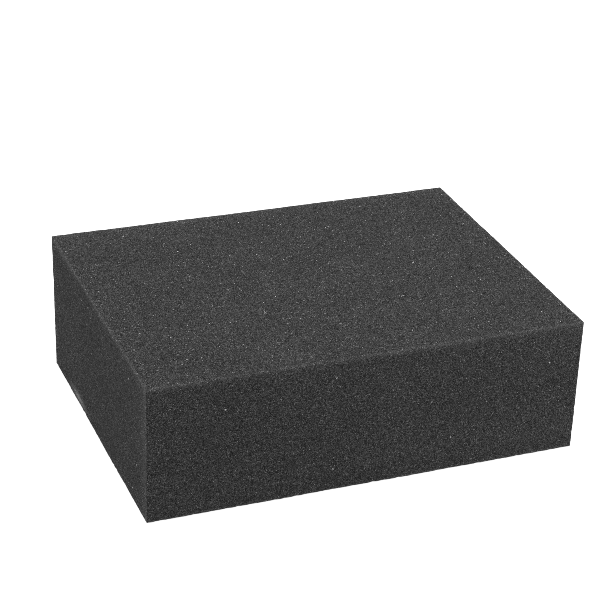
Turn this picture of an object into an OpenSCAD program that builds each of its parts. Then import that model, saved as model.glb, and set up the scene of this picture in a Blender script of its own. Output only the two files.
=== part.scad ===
/* [Block] */
// Length of the foam block, left to right
block_length = 300; // [150:1:450]
// Depth of the foam block, front to back
block_depth = 225; // [100:1:400]
// Height of the foam block
block_height = 98; // [40:1:150]

/* [Edges] */
// Width of the bevel that stands for the softened edges of the cut foam
edge_break = 1; // [0.2:0.1:5]

/* [Hidden] */
// How far a crossing prism runs past the block at each end
overrun = 5;

// A rectangle centred on the origin, with edge_break cut off each corner
module bevelled_rectangle(size_x, size_y) {
    x = size_x / 2;
    y = size_y / 2;
    b = edge_break;
    polygon([
        [x, -y + b], [x, y - b],
        [x - b, y], [-x + b, y],
        [-x, y - b], [-x, -y + b],
        [-x + b, -y], [x - b, -y]
    ]);
}

// A bevelled bar of the given length, centred on the origin and running along Z
module bevelled_bar(size_x, size_y, length) {
    linear_extrude(length, center = true)
        bevelled_rectangle(size_x, size_y);
}

// The whole block: three bars cross at right angles, and what they share is a
// cuboid with all twelve edges bevelled. Its base lies on Z = 0, centred on the origin.
module foam_brick() {
    color("#464646")
    translate([0, 0, block_height / 2])
    intersection() {
        // This bar bevels the four upright edges
        bevelled_bar(block_length, block_depth, block_height + 2 * overrun);
        // This one bevels the four edges that run left to right
        rotate([90, 0, 90])
            bevelled_bar(block_depth, block_height, block_length + 2 * overrun);
        // This one bevels the four edges that run front to back
        rotate([90, 0, 0])
            bevelled_bar(block_length, block_height, block_depth + 2 * overrun);
    }
}

foam_brick();
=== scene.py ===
"""The looks of a dark grey open-cell foam brick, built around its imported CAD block."""

import math

import bpy
import numpy as np
from mathutils import Matrix, Vector, noise


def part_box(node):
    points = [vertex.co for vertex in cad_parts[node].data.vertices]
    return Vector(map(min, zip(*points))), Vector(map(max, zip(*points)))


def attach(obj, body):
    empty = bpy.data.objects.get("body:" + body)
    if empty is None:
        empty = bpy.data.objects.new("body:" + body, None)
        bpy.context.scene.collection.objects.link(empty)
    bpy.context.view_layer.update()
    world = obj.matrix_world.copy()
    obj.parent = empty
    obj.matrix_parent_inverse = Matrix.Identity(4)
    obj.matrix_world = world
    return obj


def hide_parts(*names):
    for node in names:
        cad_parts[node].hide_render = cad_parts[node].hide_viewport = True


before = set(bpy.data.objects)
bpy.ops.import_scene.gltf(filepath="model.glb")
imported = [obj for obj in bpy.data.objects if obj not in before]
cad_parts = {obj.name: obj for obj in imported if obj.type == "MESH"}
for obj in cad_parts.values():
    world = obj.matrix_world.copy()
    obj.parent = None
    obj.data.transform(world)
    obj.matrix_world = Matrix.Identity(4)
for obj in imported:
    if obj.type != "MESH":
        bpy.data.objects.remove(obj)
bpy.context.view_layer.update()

MM = 0.001

# The camera: where it aims, from how far, and how it is turned
CAMERA_AIM = Vector((18.1, 61.1, 49.0)) * MM
CAMERA_DISTANCE = 1404.4 * MM
CAMERA_AZIMUTH = 21.74    # degrees to the right of the +Y direction
CAMERA_DOWN = 26.54       # degrees below the horizon
CAMERA_ROLL = 1.73        # degrees that the camera's right side is raised by
LENS_MM = 117.4
SENSOR_MM = 36.0
CLIP_END = 100.0          # metres

# The saw cuts aren't quite square to each other
TOP_RISE_TO_BACK = 3.0 * MM
TOP_FALL_TO_RIGHT = 1.4 * MM
FRONT_LEAN = 1.3 * MM     # how far the front face's top edge stands out past its bottom edge
BACK_LEAN = 3.1 * MM      # the same for the back face

# The mesh
FACE_PITCH = 1.66 * MM    # spacing of the mesh lines in the middle of a face
EDGE_STEPS = [step * MM for step in (0.35, 0.45, 0.6, 0.8, 1.1, 1.4)]   # from an edge inwards
EDGE_RADIUS = 0.8 * MM
RAGGEDNESS = 0.35         # how much of its own size the edge radius varies by
SHOULDER_DEPTH = 0.35 * MM    # how far a face drops towards its edges
SHOULDER_WIDTH = 2.0 * MM

# Relief of the cut surface: (size of a feature, height) of each layer of noise
SAW_WAVES = (38 * MM, 0.22 * MM)
TORN_CELLS = (3.3 * MM, 0.10 * MM)
EDGE_CRUMBLE = (3.6 * MM, 0.45 * MM)
FOOT_CRUMBLE = 2.5        # how many times deeper the edges crumble around the underside
SEED_STEP = Vector((17.3, 5.1, 9.7))    # how far apart the layers of noise are taken

# The studio
SURROUND = (0.10, 1.10)   # the surround's brightness, lowest and highest
BRIGHT_SIDE = (-0.7, 0.7, 0)    # where it is brightest
FLOOR_REACH = 20.0        # metres from its middle to each side
FLOOR_TONE = 0.4
FLOOR_GLOW = 0.90         # the floor is a softly lit white table
LAMPS = [                 # name, place, aim, size and watts
    ("overhead", (0.1, 0.1, 1.8), (0, 0, 0), 0.6, 28.6),
    ("fill", (0.48, -0.40, 0.12), (0.1, -0.1, 0.05), 0.3, 0.95),
]
PIXEL_FILTER = 1.0        # in pixels: a wider one smears the grain

# Painted highlights: paler foam near the edges, standing in for the light they catch: (how much
# paler, how far it reaches)
RIM = (0.60, 1.2 * MM)          # along the edges, but not beside the long sides' upright ones
BELOW_TOP_HIGHLIGHT = (0.80, 1.9 * MM)         # on the sides, just below the top face
FOOT = (0.40, 1.8 * MM)         # on the sides, just above the floor
END_HALO = (0.60, 6.5 * MM)     # on the ends, beside their front edges
BACK_HALO = (0.35, 5.0 * MM)    # on the top and the ends, beside their back edges
RIGHT_HALO = (0.15, 3.0 * MM)   # on the top, beside its right edge

# A painted highlight: a pale streak along the foot of the left end
STREAK_HIGHLIGHT_GAIN = 3.0
STREAK_HIGHLIGHT_PLACE = Vector((-150, 48.5, 5.2)) * MM
STREAK_HIGHLIGHT_REACH = Vector((2, 16, 2.4)) * MM

# Tones
FOAM_TONE = 0.0393        # how much light the average grain returns
GRAIN_CONTRAST = 1.8      # range of the grains' tones, as a natural logarithm
CELL_CONTRAST = 0.2       # range of the cells' tones, the same way
WALL_HIGHLIGHT = 0.6           # painted highlight: how much paler the cell walls are, the same way
PORE_SHADE = 0.6           # painted shade: how much darker the middle of a cell's pit is, the same way
EDGE_CONTRAST = (1.4, 0.5)    # how pale an edge has to be to keep only this share of the contrast
PALE_SHARE = 0.04         # share of the grains that are much paler
PALE_GAIN = 2.7           # how many times paler they are
GLINT_SPECK_TONE = 0.4          # how much light a painted glint speck returns

# Sizes of what the surface is made of
CELL = 0.95 * MM          # average width of one cell
WALL_WIDTH = 0.14         # in cells
PORE_SLOPE = (0.03, 0.40)     # how far from a wall a pore starts and ends its slope, in cells
PORE_DEPTH = 0.25 * MM
GRAIN = 0.45 * MM         # average width of a cut strut or window
GRAIN_TILT = 0.5          # steepest slope of a grain along each axis
WINDOW_TILT = 1.0         # the same for a shiny window
WINDOW_GLOSS = 0.33       # strength of a window's clear coat

# Soft noise: (size of a patch, lowest and highest value)
PATCHES = (14 * MM, 0.80, 1.20)    # of stronger and weaker grain
MOTTLE = (45 * MM, 0.95, 1.05)     # of paler and darker foam
NOISE_SPAN = (0.3, 0.7)            # where nearly all values of a noise texture lie

# What differs between the ends, the long sides and the flats
FACE_CONTRAST = (0.8, 0.97, 1.16)
WINDOW_SHARE = (0.024, 0.024, 0.105)       # share of the grains that are shiny windows
GLINT_SPECK_SHARE = (0.0008, 0.00018, 0.00018)   # share of the cells painted as pale glint specks


def mesh_lines(half):
    """Places of the mesh lines from -half to half, closer together at both ends."""
    inset = np.cumsum([0.0] + EDGE_STEPS)
    inner = half - inset[-1]
    count = max(2, round(2 * inner / FACE_PITCH))
    middle = np.linspace(-inner, inner, count + 1)[1:-1]
    return np.concatenate([inset - half, middle, half - inset[::-1]])


def box_surface(lines):
    """Vertices and quads of the closed surface of a box cut by three sets of mesh lines."""
    counts = [len(line) for line in lines]
    grid = np.indices(counts).reshape(3, -1).T
    last = np.array(counts) - 1
    outer = ((grid == 0) | (grid == last)).any(axis=1)
    number = np.full(counts, -1)
    number[tuple(grid[outer].T)] = np.arange(outer.sum())
    points = np.stack([lines[axis][grid[outer, axis]] for axis in range(3)], axis=1)
    quads = []
    for axis in range(3):
        u, v = (axis + 1) % 3, (axis + 2) % 3
        for end in (0, last[axis]):
            sheet = np.moveaxis(number, (u, v, axis), (0, 1, 2))[:, :, end]
            corners = [sheet[:-1, :-1], sheet[1:, :-1], sheet[1:, 1:], sheet[:-1, 1:]]
            if end == 0:
                corners.reverse()
            quads.append(np.stack(corners, axis=-1).reshape(-1, 4))
    return points, np.concatenate(quads)


def edge_gaps(points, half):
    """How far each point is from the three pairs of faces, and from the nearest edge."""
    gap = half - np.abs(points)
    return gap, np.sort(gap, axis=1)[:, 1]


def noise_field(points, size, seed):
    """Smooth noise from about -1 to 1 at each point, with features of the given size."""
    offset = SEED_STEP * seed
    return np.array([noise.noise(Vector(p) / size + offset) for p in points])


def shape_block(points, half):
    """Rounds the edges, adds the relief of the cut, and sets the faces slightly out of square."""
    to_edge = edge_gaps(points, half)[1]
    crumble_size, crumble_height = EDGE_CRUMBLE
    ragged = noise_field(points, crumble_size, 1)
    radius = EDGE_RADIUS * (1 + RAGGEDNESS * ragged)[:, None]
    core = np.clip(points, -(half - radius), half - radius)
    outward = points - core
    outward /= np.linalg.norm(outward, axis=1)[:, None]
    rounded = core + radius * outward

    depth = SHOULDER_DEPTH * np.exp(-to_edge / SHOULDER_WIDTH)
    crumble = crumble_height * np.where(points[:, 2] < 0, FOOT_CRUMBLE, 1)
    depth += crumble * np.clip(ragged, 0, None) * np.exp(-to_edge / EDGE_RADIUS)
    for seed, (size, height) in enumerate((SAW_WAVES, TORN_CELLS), start=2):
        depth -= height * noise_field(points, size, seed)
    shaped = rounded - outward * depth[:, None]

    x, y, z = (shaped / half).T
    shaped[:, 2] += (TOP_RISE_TO_BACK * y - TOP_FALL_TO_RIGHT * x) / 2 * (z + 1) / 2
    shaped[:, 1] += np.where(y < 0, FRONT_LEAN, BACK_LEAN) / 2 * y * z
    return shaped


def fade(gain_and_reach, distance):
    """A gain that dies away with distance."""
    gain, reach = gain_and_reach
    return gain * np.exp(-np.maximum(distance, 0) / reach)


def edge_light(points, half):
    """How much paler each point is in the painted highlights: the streak along the foot of the
    left end, and near an edge.
    """
    gap, to_edge = edge_gaps(points, half)
    on_end, on_long_side, on_flat = (gap == 0).T
    beside_upright = on_long_side & ~on_end & (gap[:, 0] < gap[:, 2])
    rim_gain, rim_reach = RIM
    rim = np.where(beside_upright, 0, rim_gain * np.exp(-(to_edge / rim_reach) ** 2))
    clear = np.clip(to_edge / rim_reach, 0, 1)        # 0 at an edge, 1 well inside a face
    to_right, to_back, below_top = (half - points).T
    beside_front = fade(END_HALO, points[:, 1] + half[1])
    beside_back = fade(BACK_HALO, to_back)
    upright = fade(BELOW_TOP_HIGHLIGHT, below_top) + fade(FOOT, 2 * half[2] - below_top)
    upright += np.where(on_end, beside_front + beside_back, 0)
    flat = beside_back + fade(RIGHT_HALO, to_right)
    light = 1 + rim + clear * np.where(on_flat, flat, upright)
    # Painted highlight: the pale streak along the foot of the left end
    above_floor = points + Vector((0, 0, half[2]))
    from_streak_highlight = (above_floor - STREAK_HIGHLIGHT_PLACE) / STREAK_HIGHLIGHT_REACH
    return light + STREAK_HIGHLIGHT_GAIN * np.exp(-(from_streak_highlight ** 2).sum(axis=1))


def build_block():
    """The brick's mesh, with its painted edge highlights in the point attribute edge_light."""
    low, high = (np.array(corner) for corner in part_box("foam_brick"))
    half = (high - low) / 2
    points, quads = box_surface([mesh_lines(h) for h in half])
    shaped = shape_block(points, half)
    shaped += (high + low) / 2
    shaped[:, 2] = np.maximum(shaped[:, 2], low[2])   # the underside lies flat on the floor
    mesh = bpy.data.meshes.new("foam_block")
    mesh.from_pydata(shaped.tolist(), [], quads.tolist())
    mesh.shade_smooth()
    light = mesh.attributes.new("edge_light", "FLOAT", "POINT")
    light.data.foreach_set("value", edge_light(points, half))
    block = bpy.data.objects.new("foam_block", mesh)
    bpy.context.collection.objects.link(block)
    return block


class Nodes:
    """Short calls that add and join shader nodes."""

    def __init__(self, tree):
        self.tree = tree
        tree.nodes.clear()

    def add(self, kind, inputs=None, **settings):
        node = self.tree.nodes.new("ShaderNode" + kind)
        for name, value in settings.items():
            setattr(node, name, value)
        for name, value in (inputs or {}).items():
            self.put(value, node.inputs[name])
        return node

    def put(self, value, socket):
        if isinstance(value, bpy.types.NodeSocket):
            self.tree.links.new(value, socket)
        else:
            socket.default_value = value

    def math(self, operation, *values):
        node = self.add("Math", operation=operation)
        for value, socket in zip(values, node.inputs):
            self.put(value, socket)
        return node.outputs[0]

    def vector(self, operation, *values):
        node = self.add("VectorMath", operation=operation)
        for value, socket in zip(values, node.inputs):
            self.put(value, socket)
        return node.outputs["Value" if operation == "DOT_PRODUCT" else "Vector"]

    def remap(self, value, old_low, old_high, new_low, new_high, shape="LINEAR"):
        inputs = {"Value": value, "From Min": old_low, "From Max": old_high,
                  "To Min": new_low, "To Max": new_high}
        return self.add("MapRange", inputs, interpolation_type=shape).outputs["Result"]

    def noise(self, place, size, low, high):
        """Soft patches of about the given size, with values from low to high."""
        texture = self.add("TexNoise", {"Vector": place, "Scale": 1 / size})
        return self.remap(texture.outputs[0], *NOISE_SPAN, low, high)

    def bump(self, height):
        """The shading normal of a surface with the given height in metres."""
        inputs = {"Height": height, "Distance": 1.0, "Strength": 1.0}
        return self.add("Bump", inputs).outputs["Normal"]

    def centred(self, chance, width):
        """A random number from 0 to 1, spread evenly over the given width around 0."""
        return self.math("MULTIPLY", self.math("SUBTRACT", chance, 0.5), width)

    def chosen(self, chance, share):
        """1 for the given share of the random numbers, 0 for the rest."""
        return self.math("GREATER_THAN", chance, self.math("SUBTRACT", 1, share))


def random_vector(n, place):
    """A vector that is different at each place and runs from -1 to 1 along each axis."""
    chance = n.add("TexWhiteNoise", {"Vector": place}, noise_dimensions="3D").outputs["Color"]
    return n.vector("MULTIPLY_ADD", chance, (2, 2, 2), (-1, -1, -1))


def cut_cells(n, place):
    """A 3D foam, cut open wherever the surface passes through it: walls, pores and chances."""
    inputs = {"Vector": place, "Scale": 1 / CELL, "Randomness": 1.0}
    cells = n.add("TexVoronoi", inputs, feature="F1")
    wall_distance = n.add("TexVoronoi", inputs, feature="DISTANCE_TO_EDGE").outputs["Distance"]
    wall = n.remap(wall_distance, 0.0, WALL_WIDTH, 1.0, 0.0, "SMOOTHSTEP")
    pore = n.remap(wall_distance, *PORE_SLOPE, 0.0, 1.0, "SMOOTHSTEP")
    chance = n.add("SeparateColor", {"Color": cells.outputs["Color"]}).outputs
    return wall, pore, chance


def grains(n, place):
    """Cut struts and torn windows, smaller than the cells: chances, and each one's own tilt."""
    grain = n.add("TexVoronoi", {"Vector": place, "Scale": 1 / GRAIN}, feature="F1")
    chance = n.add("SeparateColor", {"Color": grain.outputs["Color"]}).outputs
    centre = grain.outputs["Position"]
    offset = n.vector("SUBTRACT", place, centre)
    tilt = n.vector("DOT_PRODUCT", offset, random_vector(n, centre))
    return chance, tilt


def foam_material():
    material = bpy.data.materials.new("charcoal_foam")
    material.use_nodes = True
    n = Nodes(material.node_tree)
    place = n.add("TexCoord").outputs["Object"]
    wall, pore, cell_chance = cut_cells(n, place)
    grain_chance, tilt = grains(n, place)
    # edge_light holds the painted highlights near the edges
    paler = n.add("Attribute", attribute_name="edge_light").outputs["Fac"]
    normal = n.add("NewGeometry").outputs["True Normal"]
    facing = n.vector("MULTIPLY", normal, normal)     # 1 on the axis that the face looks along
    patches = n.noise(place, *PATCHES)

    # How much the grains' tones differ: less near an edge
    pale_edge, edge_share = EDGE_CONTRAST
    softened = n.remap(paler, 1.0, pale_edge, 1.0, edge_share)
    contrast = n.math("MULTIPLY", n.math("MULTIPLY", patches, softened), GRAIN_CONTRAST)
    contrast = n.math("MULTIPLY", contrast, n.vector("DOT_PRODUCT", facing, FACE_CONTRAST))

    # Tones add up as logarithms. Spreading them evenly over the contrast makes the average tone
    # paler by about contrast squared / 24, so that much comes off again.
    raised = n.math("DIVIDE", n.math("MULTIPLY", contrast, contrast), 24)
    log_tone = n.math("SUBTRACT", n.centred(grain_chance["Red"], contrast), raised)
    # Painted highlight on the cell walls, painted shade in the middle of each pore
    log_tone = n.math("ADD", log_tone, n.math("MULTIPLY", wall, WALL_HIGHLIGHT))
    log_tone = n.math("ADD", log_tone, n.math("MULTIPLY", pore, -PORE_SHADE))
    log_tone = n.math("ADD", log_tone, n.centred(cell_chance["Red"], CELL_CONTRAST))
    tone = n.math("EXPONENT", log_tone)

    # Pale grains, broad mottling, painted highlights near the edges and rare painted glints
    pale_grain = n.chosen(grain_chance["Blue"], PALE_SHARE)
    tone = n.math("MULTIPLY", tone, n.remap(pale_grain, 0, 1, 1, PALE_GAIN))
    tone = n.math("MULTIPLY", tone, n.math("MULTIPLY", n.noise(place, *MOTTLE), paler))
    tone = n.math("MULTIPLY", tone, FOAM_TONE)
    # Painted glints: rare cells painted nearly white
    glint_speck = n.chosen(cell_chance["Blue"], n.vector("DOT_PRODUCT", facing, GLINT_SPECK_SHARE))
    tone = n.remap(glint_speck, 0, 1, tone, GLINT_SPECK_TONE)
    color = n.add("CombineColor", {"Red": tone, "Green": tone, "Blue": tone}).outputs["Color"]

    # Relief: each cell is a pit, and each grain is tilted its own way
    pit = n.math("MULTIPLY", pore, -PORE_DEPTH)
    bump = n.bump(n.math("ADD", n.math("MULTIPLY", tilt, GRAIN_TILT), pit))

    # Shiny windows: a few of the grains are smooth skins that catch the light
    window_bump = n.bump(n.math("MULTIPLY", tilt, WINDOW_TILT))
    share = n.math("MULTIPLY", n.vector("DOT_PRODUCT", facing, WINDOW_SHARE), patches)
    window = n.math("MULTIPLY", n.chosen(grain_chance["Green"], share), WINDOW_GLOSS)
    shader = n.add("BsdfPrincipled", {
        "Base Color": color, "Roughness": 0.9, "Specular IOR Level": 0.0, "Normal": bump,
        "Coat Weight": window, "Coat Roughness": 0.2, "Coat IOR": 2.2, "Coat Normal": window_bump})
    n.put(shader.outputs["BSDF"], n.add("OutputMaterial").inputs["Surface"])
    return material


def floor():
    reach = FLOOR_REACH
    mesh = bpy.data.meshes.new("floor")
    corners = [(-reach, -reach, 0), (reach, -reach, 0), (reach, reach, 0), (-reach, reach, 0)]
    mesh.from_pydata(corners, [], [(0, 1, 2, 3)])
    obj = bpy.data.objects.new("floor", mesh)
    bpy.context.collection.objects.link(obj)
    material = bpy.data.materials.new("pale_floor")
    material.use_nodes = True
    shader = material.node_tree.nodes["Principled BSDF"]
    shader.inputs["Base Color"].default_value = (FLOOR_TONE, FLOOR_TONE, FLOOR_TONE, 1)
    shader.inputs["Roughness"].default_value = 1.0
    shader.inputs["Specular IOR Level"].default_value = 0.0
    shader.inputs["Emission Color"].default_value = (1, 1, 1, 1)
    shader.inputs["Emission Strength"].default_value = FLOOR_GLOW
    obj.data.materials.append(material)


def area_light(name, place, aim, size, watts):
    data = bpy.data.lights.new(name, "AREA")
    data.shape = "DISK"
    data.size = size
    data.energy = watts
    light = bpy.data.objects.new(name, data)
    place = Vector(place)
    light.location = place
    light.rotation_euler = (Vector(aim) - place).to_track_quat("-Z", "Y").to_euler()
    bpy.context.collection.objects.link(light)


def world_light():
    """A pale surround, brighter behind and to the left of the brick than in front of it."""
    world = bpy.data.worlds.new("studio")
    world.use_nodes = True
    n = Nodes(world.node_tree)
    direction = n.add("TexCoord").outputs["Generated"]
    side = n.vector("DOT_PRODUCT", direction, BRIGHT_SIDE)
    strength = n.remap(side, -1, 1, *SURROUND)
    background = n.add("Background", {"Color": (1, 1, 1, 1), "Strength": strength})
    n.put(background.outputs[0], n.add("OutputWorld").inputs["Surface"])
    bpy.context.scene.world = world


def camera():
    azimuth, down, roll = (math.radians(a) for a in (CAMERA_AZIMUTH, CAMERA_DOWN, CAMERA_ROLL))
    forward = Vector((math.sin(azimuth) * math.cos(down), math.cos(azimuth) * math.cos(down),
                      -math.sin(down)))
    level_right = forward.cross(Vector((0, 0, 1))).normalized()
    level_up = level_right.cross(forward)
    right = level_right * math.cos(roll) + level_up * math.sin(roll)
    up = right.cross(forward)
    data = bpy.data.cameras.new("camera")
    data.lens = LENS_MM
    data.sensor_width = SENSOR_MM
    data.clip_end = CLIP_END
    obj = bpy.data.objects.new("camera", data)
    turn = Matrix((right, up, -forward)).transposed().to_4x4()
    obj.matrix_world = Matrix.Translation(CAMERA_AIM - forward * CAMERA_DISTANCE) @ turn
    bpy.context.collection.objects.link(obj)
    bpy.context.scene.camera = obj


camera()
block = build_block()
block.data.materials.append(foam_material())
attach(block, "root")
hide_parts("foam_brick")

floor()
world_light()
for lamp in LAMPS:
    area_light(*lamp)
bpy.context.scene.view_settings.view_transform = "Standard"
bpy.context.scene.cycles.filter_width = PIXEL_FILTER
bpy.context.scene.cycles.use_denoising = False    # it would smooth the grain away
